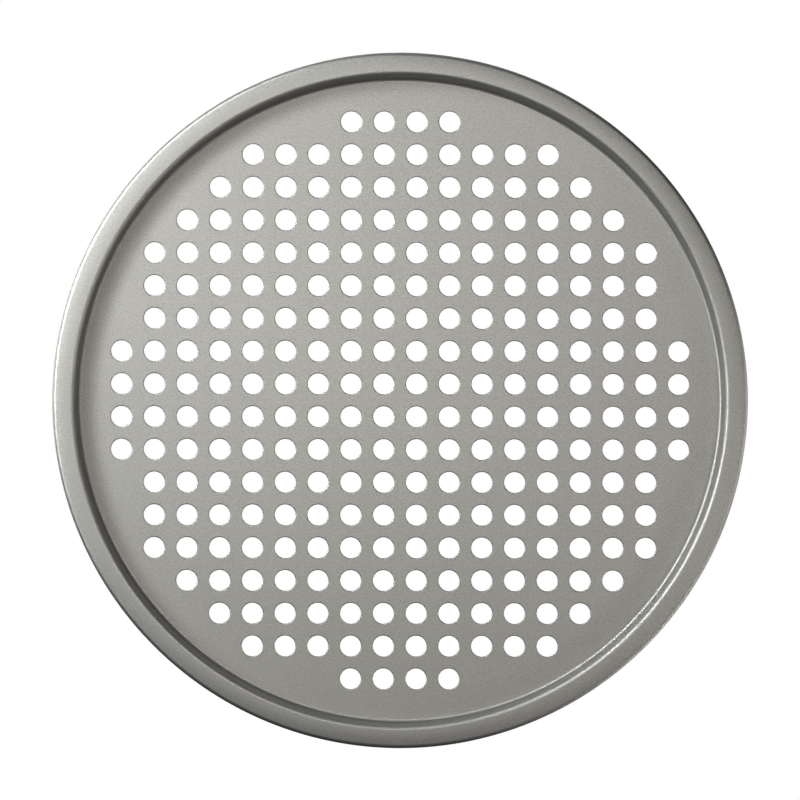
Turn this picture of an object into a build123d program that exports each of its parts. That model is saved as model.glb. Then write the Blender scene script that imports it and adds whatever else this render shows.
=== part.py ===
from build123d import *
import os
from math import ceil, cos, hypot, radians, sin

# Round perforated pizza pan of coated steel, in millimetres.
# One sheet is punched with a square grid of vents, pressed into a shallow dish with a wide flat rim,
# and its edge is rolled under, round a reinforcing wire.
# Frame: +Z up, origin at the centre of the floor's underside, which is what the pan rests on.

# Whole pan
pan_diameter = 370.0
pan_height = 12.0
sheet_thickness = 0.6

# Dish wall: the radii are those of the sheet's upper face
wall_lean = 7.0
floor_corner_radius = 1.8
rim_bend_radius = 2.4

# Rim: from the end of the wall's bend out to the pan's edge
rim_width = 9.7
rim_fall = 8.0

# Rolled edge, measured over its outside, and the wire inside it
roll_diameter = 4.8
roll_turn = 285.0
wire_clearance = 0.3

# Vents: a square grid, kept where a vent's centre is far enough from the floor's corner
vent_diameter = 11.25
vent_pitch = 17.5
vent_edge_distance = 16.2

# How far a cutting shape runs past the faces that it cuts
overrun = 1.0

os.makedirs("parts", exist_ok=True)

# The upper face rises through the corner, the straight wall and the bend to the pan's full height
pan_radius = pan_diameter / 2
wall_angle = 90 - wall_lean
bend_share = 1 - cos(radians(wall_angle))
wall_rise = pan_height - sheet_thickness - (floor_corner_radius + rim_bend_radius) * bend_share
wall_length = wall_rise / sin(radians(wall_angle))

# The rim is a crowned ring: it leaves the bend level and falls by rim_fall where the roll begins
roll_radius = roll_diameter / 2
fall_share = sin(radians(rim_fall))
crown_radius = (rim_width - roll_radius * (1 - fall_share)) / fall_share

# What the wall and its bends take of the radius leaves the flat floor
wall_run = wall_length * cos(radians(wall_angle))
bends_run = (floor_corner_radius + rim_bend_radius) * sin(radians(wall_angle))
floor_radius = pan_radius - rim_width - bends_run - wall_run

# Centre of the roll, where the wire lies
roll_centre_radius = pan_radius - roll_radius
roll_centre_height = pan_height - crown_radius * (1 - cos(radians(rim_fall))) - roll_radius * cos(radians(rim_fall))


def sheet_face(depth):
    """Draw one face of the sheet's section, from the axis out to the cut edge inside the roll.

    depth is how far the face lies below the upper face: nothing, or the sheet's thickness.
    A bend keeps its centre, so the upward bend's radius grows by depth and the others shrink by it.
    """
    floor = Line((0, sheet_thickness - depth), (floor_radius, sheet_thickness - depth))
    corner = JernArc(floor @ 1, floor % 1, floor_corner_radius + depth, wall_angle)
    wall = PolarLine(corner @ 1, wall_length, direction=corner % 1)
    bend = JernArc(wall @ 1, wall % 1, rim_bend_radius - depth, -wall_angle)
    crown = JernArc(bend @ 1, bend % 1, crown_radius - depth, -rim_fall)
    roll = JernArc(crown @ 1, crown % 1, roll_radius - depth, -roll_turn)
    return floor @ 0, roll @ 1


def vent_places():
    """Give the centres of the vents: points of the square grid, half a pitch off both axes."""
    field_radius = floor_radius - vent_edge_distance
    reach = ceil(field_radius / vent_pitch)
    steps = [(step + 1 / 2) * vent_pitch for step in range(-reach, reach)]
    return [(x, y) for x in steps for y in steps if hypot(x, y) <= field_radius]


# Pressed sheet with its vents
with BuildPart() as pan_sheet:
    with BuildSketch(Plane.XZ):
        with BuildLine():
            upper_start, upper_end = sheet_face(0)
            lower_start, lower_end = sheet_face(sheet_thickness)
            Line(upper_start, lower_start)
            Line(upper_end, lower_end)
        make_face()
    revolve(axis=Axis.Z)
    with BuildSketch(Plane.XY.offset(-overrun)):
        with Locations(*vent_places()):
            Circle(vent_diameter / 2)
    extrude(amount=sheet_thickness + 2 * overrun, mode=Mode.SUBTRACT)
pan_sheet.part.label = "pan_sheet"
export_step(pan_sheet.part, "parts/pan_sheet.step")

# Reinforcing wire, a closed ring that the edge is rolled round
with BuildPart() as rim_wire:
    with BuildSketch(Plane.XZ):
        with Locations((roll_centre_radius, roll_centre_height)):
            Circle(roll_radius - sheet_thickness - wire_clearance)
    revolve(axis=Axis.Z)
rim_wire.part.label = "rim_wire"
export_step(rim_wire.part, "parts/rim_wire.step")
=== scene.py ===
"""Looks of the round perforated pizza pan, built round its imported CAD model.

The pressed sheet is worked out again as one fine closed surface, with smooth vents, and stands for its
CAD node. The reinforcing wire keeps its CAD mesh and gets a better material. All lengths are in metres,
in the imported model's frame: +Z up, origin at the centre of the floor's underside.
"""

import logging
import math
from dataclasses import dataclass, field
from enum import Enum

import bpy
import numpy as np
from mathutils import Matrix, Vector


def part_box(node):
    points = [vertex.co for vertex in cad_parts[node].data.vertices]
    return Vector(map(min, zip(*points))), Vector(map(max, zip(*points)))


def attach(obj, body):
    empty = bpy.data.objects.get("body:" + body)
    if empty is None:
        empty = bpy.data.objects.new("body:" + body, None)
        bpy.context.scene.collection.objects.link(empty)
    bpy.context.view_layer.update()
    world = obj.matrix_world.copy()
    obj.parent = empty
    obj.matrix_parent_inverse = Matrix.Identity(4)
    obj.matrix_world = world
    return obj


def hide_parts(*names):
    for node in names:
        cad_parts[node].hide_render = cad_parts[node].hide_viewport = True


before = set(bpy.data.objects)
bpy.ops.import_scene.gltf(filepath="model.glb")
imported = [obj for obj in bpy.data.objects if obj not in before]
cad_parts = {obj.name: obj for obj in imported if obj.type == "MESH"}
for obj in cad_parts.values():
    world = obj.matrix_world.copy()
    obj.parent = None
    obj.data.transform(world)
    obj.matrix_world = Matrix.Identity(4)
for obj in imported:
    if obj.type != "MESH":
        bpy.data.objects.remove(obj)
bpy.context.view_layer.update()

LOG = logging.getLogger("pizza_pan")

MM = 0.001
WHITE = (1.0, 1.0, 1.0, 1.0)


class Slot(Enum):
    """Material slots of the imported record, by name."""

    COATING = "coated_steel"
    WIRE = "bare_wire"


class Side(Enum):
    """The two sides of the sheet: the value is the way along Z that the floor's side looks."""

    UPPER = 1
    LOWER = -1


class PatchedSurface:
    """Patches of faces whose corners carry exact normals and a darkening of the colour, welded into one
    closed mesh.
    """

    weld_step = 1e-8
    # Name of the mesh attribute that darkens the colour over the vents' lips and walls and the roll's cut
    # edge.
    darkening_name = "edge_darkening"

    def __init__(self) -> None:
        """Start with no faces."""
        self._corners: list[np.ndarray] = []
        self._normals: list[np.ndarray] = []
        self._sides: list[np.ndarray] = []
        self._darkening: list[np.ndarray] = []

    def add_faces(self, corners: np.ndarray, normals: np.ndarray, darkening: np.ndarray | float = 0.0) -> None:
        """Add faces given corner by corner.

        Args:
            corners: points of shape (faces, corners of a face, 3), anticlockwise seen from outside.
            normals: outward normals at the corners, in a shape that spreads over that of corners.
            darkening: how much the colour is darkened at the corners, from 0 to 1, in a shape that spreads
                over them.
        """
        faces, sides = corners.shape[:2]
        self._darkening.append(np.broadcast_to(darkening, (faces, sides)).ravel())
        self._corners.append(corners.reshape(-1, 3))
        self._normals.append(np.broadcast_to(normals, corners.shape).reshape(-1, 3))
        self._sides.append(np.full(faces, sides))

    def add_grid(self, points: np.ndarray, normals: np.ndarray, darkening: np.ndarray | float = 0.0) -> None:
        """Add the quads of one grid or several: a quad joins each grid point to the next row and column.

        Args:
            points: grid points of shape (..., rows, columns, 3). Seen from outside, with the rows counted
                upwards, the columns run to the right.
            normals: outward normals in a shape that spreads over that of points.
            darkening: how much the colour is darkened, from 0 to 1, in a shape that spreads over the grid.
        """
        spread = np.broadcast_to(normals, points.shape)
        dimming = np.broadcast_to(darkening, points.shape[:-1])[..., None]
        quads = []
        for grid in (points, spread, dimming):
            low, high = grid[..., :-1, :, :], grid[..., 1:, :, :]
            ring = (low[..., :-1, :], low[..., 1:, :], high[..., 1:, :], high[..., :-1, :])
            quads.append(np.stack(ring, axis=-2).reshape(-1, 4, grid.shape[-1]))
        self.add_faces(quads[0], quads[1], quads[2][..., 0])

    def mesh(self, name: str) -> bpy.types.Mesh:
        """Weld corners that share a place, and give the mesh with its corner normals.

        Args:
            name: name of the new mesh.

        Returns:
            The mesh, closed where the patches meet.
        """
        corners = np.concatenate(self._corners)
        steps = np.round(corners / self.weld_step).astype(np.int64)
        _, first, index = np.unique(steps, axis=0, return_index=True, return_inverse=True)
        sides = np.concatenate(self._sides)
        starts = np.concatenate(([0], np.cumsum(sides)[:-1]))
        made = bpy.data.meshes.new(name)
        made.vertices.add(len(first))
        made.vertices.foreach_set("co", corners[first].astype(np.float32).ravel())
        made.loops.add(len(corners))
        made.loops.foreach_set("vertex_index", index.ravel().astype(np.int32))
        made.polygons.add(len(sides))
        made.polygons.foreach_set("loop_start", starts.astype(np.int32))
        darkening = made.attributes.new(self.darkening_name, "FLOAT", "CORNER")
        darkening.data.foreach_set("value", np.concatenate(self._darkening).astype(np.float32))
        made.update(calc_edges=True)
        made.normals_split_custom_set(np.concatenate(self._normals).astype(np.float32))
        return made


@dataclass(frozen=True)
class Bend:
    """One run of the sheet's section with an even curve: an arc, or a straight run where turn is zero."""

    length: float
    turn: float
    steps: int

    @classmethod
    def arc(cls, radius: float, turn: float, steps: int) -> "Bend":
        """Make the arc of a radius and a turn, which is positive to the left."""
        return cls(length=radius * abs(turn), turn=turn, steps=steps)

    def follow(self, start: np.ndarray, heading: float) -> tuple[np.ndarray, np.ndarray]:
        """Carry a point along the run.

        At the share s of the run, the heading is h = h0 + s * turn. The place is the start plus
        length / turn times (sin h - sin h0, cos h0 - cos h), or on a straight run s * length along the
        heading.

        Args:
            start: the first point, (radius, height).
            heading: the heading there, in radians from straight outwards.

        Returns:
            The points after the first one, and the headings at them.
        """
        share = np.arange(1, self.steps + 1) / self.steps
        heads = heading + share * self.turn
        if self.turn:
            across = np.sin(heads) - math.sin(heading)
            along = math.cos(heading) - np.cos(heads)
            moved = np.stack((across, along), axis=-1) * (self.length / self.turn)
        else:
            moved = share[:, None] * self.length * np.array((math.cos(heading), math.sin(heading)))
        return start + moved, heads


@dataclass(frozen=True)
class SheetSection:
    """Section of the pressed sheet, from the flat floor's edge out to the cut edge inside the roll."""

    pan_radius: float
    pan_height: float
    thickness: float = 0.6 * MM
    wall_lean: float = math.radians(7)
    corner_radius: float = 1.8 * MM
    bend_radius: float = 2.4 * MM
    rim_width: float = 9.7 * MM
    rim_fall: float = math.radians(8)
    roll_radius: float = 2.4 * MM
    roll_turn: float = math.radians(285)
    bend_steps: int = 10
    wall_steps: int = 2
    crown_steps: int = 8
    roll_steps: int = 24

    @property
    def wall_angle(self) -> float:
        """Give the angle between the wall and the floor."""
        return math.pi / 2 - self.wall_lean

    @property
    def wall_length(self) -> float:
        """Give the length of the wall's straight run: what the two bends leave of the height."""
        bends = (self.corner_radius + self.bend_radius) * (1 - math.cos(self.wall_angle))
        return (self.pan_height - self.thickness - bends) / math.sin(self.wall_angle)

    @property
    def crown_radius(self) -> float:
        """Give the radius of the rim's crown, which falls by rim_fall where the roll begins."""
        fall = math.sin(self.rim_fall)
        return (self.rim_width - self.roll_radius * (1 - fall)) / fall

    @property
    def floor_radius(self) -> float:
        """Give the flat floor's radius: what the wall, its bends and the rim leave."""
        bends = (self.corner_radius + self.bend_radius) * math.sin(self.wall_angle)
        run = self.wall_length * math.cos(self.wall_angle)
        return self.pan_radius - self.rim_width - bends - run

    def face(self, side: Side) -> tuple[np.ndarray, np.ndarray]:
        """Work out one face of the section, a chain of bends that join tangent to tangent.

        The upper face's normal is its heading turned left by a quarter, (-sin h, cos h). The lower face
        lies one thickness against that normal, so both faces' bends keep one centre.

        Args:
            side: the face to give.

        Returns:
            Points (radius, height) and outward normals, both of shape (points, 2).
        """
        chain = (
            Bend.arc(self.corner_radius, self.wall_angle, self.bend_steps),
            Bend(self.wall_length, 0.0, self.wall_steps),
            Bend.arc(self.bend_radius, -self.wall_angle, self.bend_steps),
            Bend.arc(self.crown_radius, -self.rim_fall, self.crown_steps),
            Bend.arc(self.roll_radius, -self.roll_turn, self.roll_steps),
        )
        points, heads = [np.array([[self.floor_radius, self.thickness]])], [np.zeros(1)]
        for bend in chain:
            reached, turned = bend.follow(points[-1][-1], heads[-1][-1])
            points.append(reached)
            heads.append(turned)
        heading = np.concatenate(heads)
        normal = np.stack((-np.sin(heading), np.cos(heading)), axis=-1)
        upper = np.concatenate(points)
        if side is Side.UPPER:
            return upper, normal
        return upper - self.thickness * normal, -normal


@dataclass(frozen=True)
class VentField:
    """The square grid of round vents, with the sheet's edge pulled down into each by the punch."""

    field_radius: float
    radius: float = 5.625 * MM
    pitch: float = 17.5 * MM
    lip_width: float = 0.5 * MM
    lip_drop: float = 0.3 * MM
    sides: int = 24
    lip_steps: int = 2

    def centres(self) -> np.ndarray:
        """Give the grid points, half a pitch off both axes, that lie within the field's radius."""
        reach = math.ceil(self.field_radius / self.pitch)
        steps = (np.arange(-reach, reach) + 0.5) * self.pitch
        grid = np.stack(np.meshgrid(steps, steps), axis=-1).reshape(-1, 2)
        return grid[np.hypot(*grid.T) <= self.field_radius]

    def directions(self) -> np.ndarray:
        """Give the unit directions of a vent's corners, with the first one again at the end."""
        angles = np.linspace(0, 2 * math.pi, self.sides + 1)
        turn = np.stack((np.cos(angles), np.sin(angles)), axis=-1)
        turn[-1] = turn[0]
        return turn

    def cell_outline(self) -> np.ndarray:
        """Give a cell's square outline: each direction, stretched to half a pitch along X or Y."""
        turn = self.directions()
        return turn * (self.pitch / 2 / np.abs(turn).max(axis=-1, keepdims=True))

    def add_to(self, surface: PatchedSurface, thickness: float) -> None:
        """Add the lips, the walls and the cells' flat land to a surface.

        A lip is a quarter of an ellipse: at the angle a its radius is the vent's plus width * (1 - sin a),
        and it lies drop * (1 - cos a) under the upper face. Its normal runs along (-drop * sin a,
        width * cos a). The colour's darkening grows over the lip as sin a, and the vent's wall is darkened
        all over.

        Args:
            surface: the surface that takes the faces.
            thickness: thickness of the sheet.
        """
        centres, turn = self.centres(), self.directions()
        angle = np.linspace(0, math.pi / 2, self.lip_steps + 1)
        lip_reach = self.radius + self.lip_width * (1 - np.sin(angle))
        lip_height = thickness - self.lip_drop * (1 - np.cos(angle))
        lip_rings = self._rings(centres, turn, lip_reach, lip_height)
        facing = np.stack((-self.lip_drop * np.sin(angle), self.lip_width * np.cos(angle)), axis=-1)
        facing /= np.hypot(*facing.T)[:, None]
        normals = np.concatenate((
            facing[:, None, :1] * turn,
            np.broadcast_to(facing[:, None, 1:], (len(angle), len(turn), 1)),
        ), axis=-1)
        # The colour is darkened more towards the vent, as sin a over the lip.
        surface.add_grid(lip_rings, normals, darkening=np.sin(angle)[:, None])
        wall_heights = np.array((thickness - self.lip_drop, 0.0))
        wall = self._rings(centres, turn, np.full(2, self.radius), wall_heights)
        inwards = np.concatenate((-turn, np.zeros((len(turn), 1))), axis=-1)
        # The vent's wall has its colour darkened all over.
        surface.add_grid(wall, inwards, darkening=1.0)
        for side, reach, height in ((Side.UPPER, lip_reach[0], thickness), (Side.LOWER, self.radius, 0.0)):
            land = np.stack((turn * reach, self.cell_outline()))[::-side.value]
            place = centres[:, None, None, :] + land
            flat = np.concatenate((place, np.full(place.shape[:-1] + (1,), height)), axis=-1)
            surface.add_grid(flat, np.array((0.0, 0.0, side.value)))

    @staticmethod
    def _rings(
        centres: np.ndarray, turn: np.ndarray, radii: np.ndarray, heights: np.ndarray
    ) -> np.ndarray:
        """Give rings round each centre, of shape (centres, rings, corners, 3)."""
        flat = centres[:, None, None, :] + radii[:, None, None] * turn
        up = np.broadcast_to(heights[:, None, None], flat.shape[:-1] + (1,))
        return np.concatenate((flat, up), axis=-1)

    def border(self) -> np.ndarray:
        """Give the outline of all the cells together, anticlockwise, without its first point again.

        A stretch of a cell's outline is on the border when no other cell has a stretch with the same
        middle. Seen from the middle of the pan the border turns only one way, so sorting by angle puts it
        in order.

        Returns:
            Points of shape (points, 2), by angle from zero.
        """
        outline = self.centres()[:, None, :] + self.cell_outline()
        starts, ends = outline[:, :-1].reshape(-1, 2), outline[:, 1:].reshape(-1, 2)
        middles = np.round((starts + ends) / 2 / PatchedSurface.weld_step).astype(np.int64)
        _, index, count = np.unique(middles, axis=0, return_inverse=True, return_counts=True)
        loose = starts[count[index.ravel()] == 1]
        loose = np.where(np.abs(loose) < PatchedSurface.weld_step, 0.0, loose)
        return loose[np.argsort(np.arctan2(loose[:, 1], loose[:, 0]) % (2 * math.pi))]


def band_between(inner: np.ndarray, outer: np.ndarray) -> np.ndarray:
    """Fill the band between two loops that both go once round the origin.

    The two loops are merged by angle: each stretch of one loop makes a triangle with the last point that
    the other loop has reached by then.

    Args:
        inner: points (n, 2) of the inner loop, by angle from zero.
        outer: points (m, 2) of the outer loop, by angle from zero.

    Returns:
        Triangles of shape (n + m, 3, 2), anticlockwise.
    """
    full = 2 * math.pi
    inner_at, outer_at = (np.arctan2(loop[:, 1], loop[:, 0]) % full for loop in (inner, outer))
    inner_next = np.append(inner_at[1:], inner_at[0] + full)
    outer_next = np.append(outer_at[1:], outer_at[0] + full)
    reached = np.searchsorted(np.append(outer_at, outer_next[-1]), inner_next, side="right") - 1
    passed = np.searchsorted(inner_at, outer_next, side="left") - 1
    against_outer = (inner, outer[reached % len(outer)], np.roll(inner, -1, axis=0))
    against_inner = (outer, np.roll(outer, -1, axis=0), inner[passed])
    return np.concatenate([np.stack(corners, axis=1) for corners in (against_outer, against_inner)])


class Finish:
    """A material's node tree, filled node by node round its main shader."""

    noise_middle = 0.5
    noise_reach = 0.25

    def __init__(self, name: str) -> None:
        """Start a material with its plain shader."""
        self.material = bpy.data.materials.new(name)
        self.material.use_nodes = True
        self.shader = self.material.node_tree.nodes["Principled BSDF"]

    def feed(self, node: bpy.types.Node, **inputs: object) -> None:
        """Set or link a node's sockets.

        Args:
            node: the node.
            inputs: values or output sockets, by the socket's name with its blanks as underscores.
        """
        for name, value in inputs.items():
            socket = node.inputs[name.replace("_", " ")]
            if isinstance(value, bpy.types.NodeSocket):
                self.material.node_tree.links.new(value, socket)
            else:
                socket.default_value = value

    def add(
        self, kind: str, settings: dict[str, object] | None = None, **inputs: object
    ) -> bpy.types.NodeSocket:
        """Add a node.

        Args:
            kind: the node's type.
            settings: properties of the node itself.
            inputs: as for feed.

        Returns:
            The node's first output.
        """
        node = self.material.node_tree.nodes.new(kind)
        for name, value in (settings or {}).items():
            setattr(node, name, value)
        self.feed(node, **inputs)
        return node.outputs[0]

    def place(self) -> bpy.types.NodeSocket:
        """Give the place on the piece, in metres."""
        coordinates = self.material.node_tree.nodes.new("ShaderNodeTexCoord")
        return coordinates.outputs["Object"]

    def noise(self, size: float, detail: float, roughness: float = 0.5) -> bpy.types.NodeSocket:
        """Give noise about its middle.

        Args:
            size: size of the lumps, in metres.
            detail: how many finer layers of noise lie on them.
            roughness: how strong each finer layer is beside the one before.

        Returns:
            The noise on the piece.
        """
        return self.add("ShaderNodeTexNoise", Vector=self.place(), Scale=1 / size, Detail=detail,
                        Roughness=roughness)

    def streaks(self, size: float, detail: float) -> bpy.types.NodeSocket:
        """Give noise that runs on along a ring round the Z axis, and changes only across it.

        Args:
            size: width of a streak, in metres.
            detail: how many finer layers of noise lie on the streaks.

        Returns:
            Noise over two lengths that stay the same along such a ring: from the origin, and along Z.
        """
        place = self.place()
        reach = self.add("ShaderNodeVectorMath", {"operation": "LENGTH"}, Vector=place).node
        level = self.add("ShaderNodeSeparateXYZ", Vector=place).node
        across = self.add("ShaderNodeCombineXYZ", X=reach.outputs["Value"], Y=level.outputs["Z"])
        return self.add("ShaderNodeTexNoise", Vector=across, Scale=1 / size, Detail=detail)

    def product(self, first: bpy.types.NodeSocket, second: bpy.types.NodeSocket) -> bpy.types.NodeSocket:
        """Multiply two values."""
        node = self.add("ShaderNodeMath", {"operation": "MULTIPLY"}).node
        for socket, value in zip(node.inputs, (first, second)):
            self.material.node_tree.links.new(value, socket)
        return node.outputs[0]

    def spread(self, value: bpy.types.NodeSocket, low: float, high: float) -> bpy.types.NodeSocket:
        """Map noise to the range from low to high, which it reaches noise_reach off its middle."""
        return self.add("ShaderNodeMapRange", Value=value, From_Min=self.noise_middle - self.noise_reach,
                        From_Max=self.noise_middle + self.noise_reach, To_Min=low, To_Max=high)


@dataclass(frozen=True)
class SatinCoating:
    """Warm grey metallic non-stick coating.

    It is a satin film with a fine sparkle and a faint cloudiness, under a thin clear gloss.
    """

    colour: tuple[float, float, float] = (0.344, 0.34, 0.324)
    metallic: float = 0.8
    roughness: float = 0.48
    gloss: float = 0.2
    gloss_roughness: float = 0.3
    grain_size: float = 0.7 * MM
    grain_detail: float = 1.0
    grain_coarseness: float = 0.6
    grain_contrast: float = 0.115
    grain_relief: float = 0.01 * MM
    grain_dulling: float = 0.12
    cloud_size: float = 28 * MM
    cloud_detail: float = 3.0
    cloud_contrast: float = 0.015
    # Share by which the colour is darkened where the darkening attribute is full.
    darkening_strength: float = 0.2

    def material(self) -> bpy.types.Material:
        """Build the material.

        The grain, the clouds and the darkening kept on the mesh, over the vents' lips and walls and the
        roll's cut edge, scale the colour. The grain also lifts the film, and dulls it where it is low.

        Returns:
            The finished material.
        """
        made = Finish("satin_coating")
        grain = made.noise(self.grain_size, self.grain_detail, roughness=self.grain_coarseness)
        cloud = made.noise(self.cloud_size, self.cloud_detail)
        flecks = made.spread(grain, 1 - self.grain_contrast, 1 + self.grain_contrast)
        clouds = made.spread(cloud, 1 - self.cloud_contrast, 1 + self.cloud_contrast)
        # Darken the colour over the vents' lips and walls and the roll's cut edge, by the amount kept on
        # the mesh.
        darkening = made.add("ShaderNodeAttribute", {"attribute_name": PatchedSurface.darkening_name})
        dimming = made.add("ShaderNodeMapRange", Value=darkening, To_Min=1.0, To_Max=1 - self.darkening_strength)
        shade = made.product(made.product(flecks, clouds), dimming)
        tint = made.add("ShaderNodeVectorMath", {"operation": "SCALE"}, Scale=shade)
        tint.node.inputs[0].default_value = self.colour
        dullness = made.add("ShaderNodeMapRange", Value=grain, From_Min=made.noise_middle,
                            From_Max=made.noise_middle - made.noise_reach, To_Min=self.roughness,
                            To_Max=self.roughness + self.grain_dulling)
        relief = made.add("ShaderNodeBump", Height=grain, Distance=self.grain_relief, Strength=1.0)
        made.feed(made.shader, Base_Color=tint, Metallic=self.metallic, Roughness=dullness, Normal=relief,
                  Coat_Weight=self.gloss, Coat_Roughness=self.gloss_roughness, Coat_Normal=relief)
        return made.material


@dataclass(frozen=True)
class DrawnWire:
    """Dull drawn steel, with fine streaks where the die scored it."""

    colour: tuple[float, float, float] = (0.5, 0.5, 0.51)
    roughness: float = 0.4
    streak_size: float = 0.25 * MM
    streak_detail: float = 3.0
    streak_contrast: float = 0.15
    streak_relief: float = 0.01 * MM

    def material(self) -> bpy.types.Material:
        """Build the material: the streaks scale the colour, and are scored into the surface and dull it."""
        made = Finish("drawn_wire")
        streaks = made.streaks(self.streak_size, self.streak_detail)
        darker, lighter = 1 - self.streak_contrast, 1 + self.streak_contrast
        shade = made.spread(streaks, darker, lighter)
        tint = made.add("ShaderNodeVectorMath", {"operation": "SCALE"}, Scale=shade)
        tint.node.inputs[0].default_value = self.colour
        dullness = made.spread(streaks, self.roughness * lighter, self.roughness * darker)
        relief = made.add("ShaderNodeBump", Height=streaks, Distance=self.streak_relief, Strength=1.0)
        made.feed(made.shader, Base_Color=tint, Metallic=1.0, Roughness=dullness, Normal=relief)
        return made.material


@dataclass(frozen=True)
class PressedSheet:
    """The pan's one pressed, punched and rolled sheet."""

    section: SheetSection
    vent_edge_distance: float = 16.2 * MM
    columns: int = 360
    finish: SatinCoating = field(default_factory=SatinCoating)

    def vents(self) -> VentField:
        """Give the vents that fit on the floor."""
        return VentField(self.section.floor_radius - self.vent_edge_distance)

    def surface(self) -> PatchedSurface:
        """Work out the whole closed surface.

        The section is carried round the axis: its two faces, and the cut edge that joins them. The floor
        is the vents' cells and a flat band from their border to the corner, on both sides of the sheet.

        Returns:
            The surface, ready to be a mesh.
        """
        made = PatchedSurface()
        angles = np.linspace(0, 2 * math.pi, self.columns + 1)
        angles[-1] = angles[0]
        turn = np.stack((np.cos(angles), np.sin(angles)), axis=-1)
        faces = {side: self.section.face(side) for side in Side}
        for side, (points, normals) in faces.items():
            order = slice(None, None, -side.value)
            made.add_grid(self._turned(points[order], turn), self._turned(normals[order], turn))
        cut = np.stack([faces[side][0][-1] for side in (Side.LOWER, Side.UPPER)])
        across = cut[1] - cut[0]
        facing = np.array((across[1], -across[0])) / np.hypot(*across)
        # The roll's cut edge has its colour darkened all over.
        made.add_grid(self._turned(cut, turn), self._turned(np.stack((facing, facing)), turn), darkening=1.0)
        vents = self.vents()
        vents.add_to(made, self.section.thickness)
        band = band_between(vents.border(), turn[:-1] * self.section.floor_radius)
        for side, height in ((Side.UPPER, self.section.thickness), (Side.LOWER, 0.0)):
            flat = np.concatenate((band, np.full(band.shape[:-1] + (1,), height)), axis=-1)
            made.add_faces(flat[:, ::side.value], np.array((0.0, 0.0, side.value)))
        return made

    @staticmethod
    def _turned(profile: np.ndarray, turn: np.ndarray) -> np.ndarray:
        """Carry (radius, height) pairs round the axis: a grid of shape (pairs, directions, 3)."""
        out = profile[:, None, :1] * turn
        up = np.broadcast_to(profile[:, None, 1:], out.shape[:-1] + (1,))
        return np.concatenate((out, up), axis=-1)

    def build(self) -> bpy.types.Object:
        """Build and dress the sheet, and let it stand for its CAD node.

        Returns:
            The sheet's object.
        """
        sheet = bpy.data.objects.new("pressed_sheet", self.surface().mesh("pressed_sheet"))
        bpy.context.scene.collection.objects.link(sheet)
        sheet.data.materials.append(self.finish.material())
        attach(sheet, "root")
        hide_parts("pan_sheet")
        return sheet


@dataclass(frozen=True)
class RimWire:
    """The reinforcing wire inside the rolled edge, shown by its CAD mesh."""

    finish: DrawnWire = field(default_factory=DrawnWire)

    def build(self) -> bpy.types.Object:
        """Dress the wire's CAD node."""
        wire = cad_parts["rim_wire"]
        wire.data.materials.clear()
        wire.data.materials.append(self.finish.material())
        return wire


class Panel(Enum):
    """Kinds of diffusing panel, by width, height and distance from the middle of the pan, in metres."""

    KEY = (0.42, 0.2, 1.0)
    WIDE = (0.6, 0.25, 1.2)
    LONG = (0.9, 0.25, 1.2)
    MIDDLING = (0.4, 0.25, 1.2)
    NARROW = (0.3, 0.2, 1.2)
    SQUARE = (0.26, 0.26, 1.2)
    BROAD = (1.0, 1.0, 1.2)

    def __init__(self, width: float, height: float, distance: float) -> None:
        """Name the three lengths."""
        self.width, self.height, self.distance = width, height, distance


@dataclass(frozen=True)
class Softbox:
    """A flat diffused light that faces the middle of the pan, at a compass place seen from there.

    The angles are in degrees and the power is in watts. The light's colour is (1 + warmth, 1, 1 - warmth),
    so a warmth under zero makes it cool.
    """

    name: str
    azimuth: float
    elevation: float
    power: float
    panel: Panel
    warmth: float = 0.0

    def place(self) -> Vector:
        """Give the light's centre: its distance times (cos e * cos a, cos e * sin a, sin e).

        Here a is the azimuth, anticlockwise from +X, and e the elevation over the table.

        Returns:
            The place in metres.
        """
        azimuth, elevation = math.radians(self.azimuth), math.radians(self.elevation)
        level = math.cos(elevation)
        way = Vector((level * math.cos(azimuth), level * math.sin(azimuth), math.sin(elevation)))
        return self.panel.distance * way

    def build(self) -> bpy.types.Object:
        """Hang the light, its width level and its face turned to the pan.

        Returns:
            The light's object.
        """
        lamp = bpy.data.lights.new(self.name, "AREA")
        lamp.shape = "RECTANGLE"
        lamp.size, lamp.size_y, lamp.energy = self.panel.width, self.panel.height, self.power
        lamp.color = (1 + self.warmth, 1.0, 1 - self.warmth)
        light = bpy.data.objects.new(self.name, lamp)
        light.location = self.place()
        light.rotation_euler = self.place().to_track_quat("Z", "Y").to_euler()
        bpy.context.scene.collection.objects.link(light)
        return light


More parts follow.
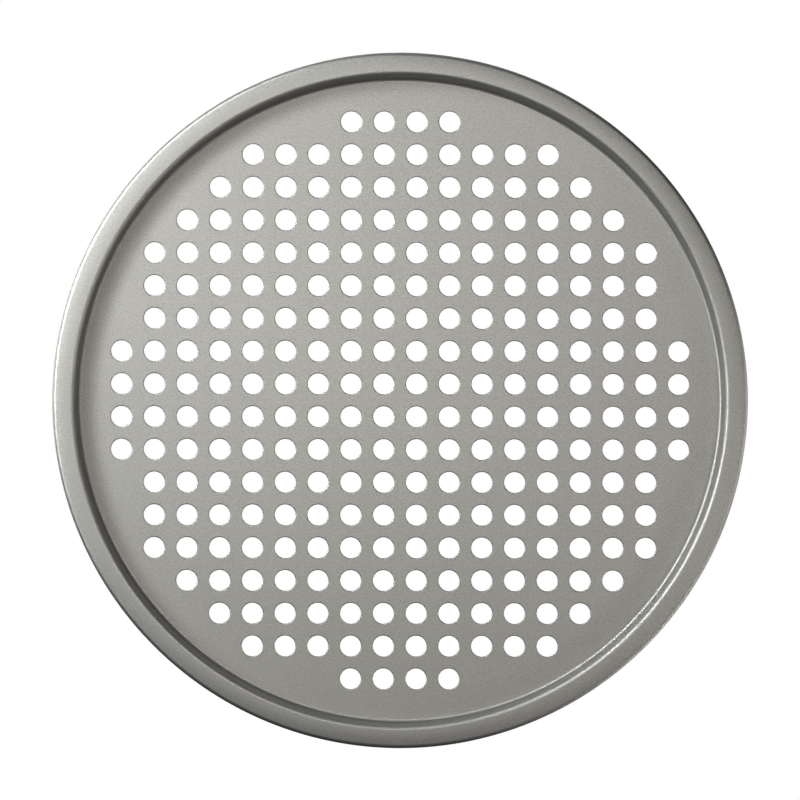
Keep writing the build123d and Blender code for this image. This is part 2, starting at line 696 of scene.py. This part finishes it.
@dataclass(frozen=True)
class Studio:
    """A white table, a dark room, the soft lights and a camera that looks straight down.

    The sensor's width is in millimetres. In the picture, edge_pixels is the radius of the pan's edge, and
    centre_pixels is how far the pan's centre lies to the right of the picture's and above it.
    """

    camera_height: float = 2.2
    frame_pixels: float = 800.0
    edge_pixels: float = 347.8
    centre_pixels: tuple[float, float] = (0.06, -0.39)
    camera_roll: float = math.radians(0.1)
    sensor: float = 36.0
    clip_range: tuple[float, float] = (0.1, 100.0)
    contrast: float = 1.4
    table_half: float = 6.0
    table_drop: float = 0.2 * MM
    room_light: float = 0.02
    softboxes: tuple[Softbox, ...] = (
        Softbox("key_left_low", 178.0, 34.0, 3.75, Panel.KEY, warmth=-0.02),
        Softbox("key_left_high", 178.0, 46.0, 1.44, Panel.KEY, warmth=-0.02),
        Softbox("key_middle_low", 153.0, 34.0, 5.43, Panel.KEY, warmth=-0.02),
        Softbox("key_right_low", 128.0, 34.0, 3.48, Panel.KEY, warmth=-0.02),
        Softbox("key_right_high", 128.0, 46.0, 1.65, Panel.KEY, warmth=-0.02),
        Softbox("low_right", 358.0, -8.0, 3.42, Panel.WIDE),
        Softbox("low_front", 318.0, -8.0, 3.53, Panel.WIDE),
        Softbox("middle_right", 352.0, 25.0, 2.45, Panel.WIDE, warmth=0.025),
        Softbox("middle_front", 320.0, 25.0, 1.94, Panel.WIDE, warmth=0.02),
        Softbox("high_right", 340.0, 62.0, 1.83, Panel.MIDDLING, warmth=0.025),
        Softbox("overhead", 140.0, 85.0, 1.53, Panel.SQUARE, warmth=0.015),
        Softbox("overhead_left", 150.0, 74.0, 0.58, Panel.NARROW, warmth=0.03),
        Softbox("overhead_back", 60.0, 74.0, 1.28, Panel.MIDDLING, warmth=0.03),
        Softbox("overhead_front", 255.0, 76.0, 0.26, Panel.MIDDLING, warmth=0.02),
        Softbox("glow_back", 78.0, -20.0, 1.88, Panel.LONG),
        Softbox("glow_back_left", 120.0, -20.0, 2.45, Panel.LONG),
        Softbox("glow_left", 165.0, -20.0, 6.14, Panel.LONG),
        Softbox("under", 0.0, -90.0, 10.0, Panel.BROAD),
    )

    def camera(self, pan_radius: float, edge_height: float) -> bpy.types.Object:
        """Set the camera over the pan, so that the pan's edge comes out at its size and place in the frame.

        Args:
            pan_radius: radius of the pan's edge.
            edge_height: height of the edge's widest line.

        Returns:
            The scene's camera.
        """
        lens = bpy.data.cameras.new("overhead_camera")
        reach = self.camera_height - edge_height
        lens.sensor_width = self.sensor
        lens.lens = self.edge_pixels / pan_radius * reach / self.frame_pixels * self.sensor
        lens.clip_start, lens.clip_end = self.clip_range
        camera = bpy.data.objects.new("overhead_camera", lens)
        step = pan_radius / self.edge_pixels
        camera.location = (-self.centre_pixels[0] * step, -self.centre_pixels[1] * step, self.camera_height)
        camera.rotation_euler = (0.0, 0.0, self.camera_roll)
        bpy.context.scene.collection.objects.link(camera)
        bpy.context.scene.camera = camera
        return camera

    def table(self) -> bpy.types.Object:
        """Lay the white table that the pan rests on.

        It glows, so that no shadow shows on it, and only the camera sees it. From below it is see-through,
        so that the pan's underside can be looked at.

        Returns:
            The table.
        """
        square = ((-1, -1), (1, -1), (1, 1), (-1, 1))
        corners = [(x * self.table_half, y * self.table_half, -self.table_drop) for x, y in square]
        mesh = bpy.data.meshes.new("white_table")
        mesh.from_pydata(corners, [], [(0, 1, 2, 3)])
        made = Finish("white_table")
        tree = made.material.node_tree
        tree.nodes.remove(made.shader)
        top = made.add("ShaderNodeEmission", Color=WHITE, Strength=1.0)
        below = made.add("ShaderNodeBsdfTransparent")
        behind = tree.nodes.new("ShaderNodeNewGeometry").outputs["Backfacing"]
        either = made.add("ShaderNodeMixShader", Fac=behind)
        tree.links.new(top, either.node.inputs[1])
        tree.links.new(below, either.node.inputs[2])
        tree.links.new(either, tree.nodes["Material Output"].inputs["Surface"])
        mesh.materials.append(made.material)
        table = bpy.data.objects.new("white_table", mesh)
        table.visible_diffuse = table.visible_glossy = table.visible_shadow = False
        bpy.context.scene.collection.objects.link(table)
        return table

    def room(self) -> bpy.types.World:
        """Make the room: plain white to the camera, and a dim even light to the pan.

        Returns:
            The scene's world.
        """
        world = bpy.data.worlds.new("pale_room")
        world.use_nodes = True
        tree = world.node_tree
        seen = tree.nodes.new("ShaderNodeLightPath").outputs["Is Camera Ray"]
        level = tree.nodes.new("ShaderNodeMapRange")
        level.inputs["To Min"].default_value = self.room_light
        tree.links.new(seen, level.inputs["Value"])
        background = tree.nodes["Background"]
        background.inputs["Color"].default_value = WHITE
        tree.links.new(level.outputs["Result"], background.inputs["Strength"])
        bpy.context.scene.world = world
        return world

    def build(self, section: SheetSection) -> None:
        """Set up the room, the table, the lights and the camera.

        Args:
            section: the sheet's section, which gives the pan's edge for the camera to frame.
        """
        scene = bpy.context.scene
        scene.view_settings.view_transform = "Standard"
        scene.view_settings.gamma = 1 / self.contrast
        self.room()
        self.table()
        for softbox in self.softboxes:
            softbox.build()
        self.camera(section.pan_radius, section.pan_height - section.roll_radius)


def main() -> None:
    """Build the pan in its studio, piece by piece."""
    logging.basicConfig(level=logging.INFO, format="%(name)s: %(message)s")
    low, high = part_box("pan_sheet")
    section = SheetSection(pan_radius=(high.x - low.x) / 2, pan_height=high.z - low.z)
    for piece in (PressedSheet(section).build(), RimWire().build()):
        LOG.info("%s: %d faces", piece.name, len(piece.data.polygons))
    Studio().build(section)


if __name__ == "__main__":
    main()
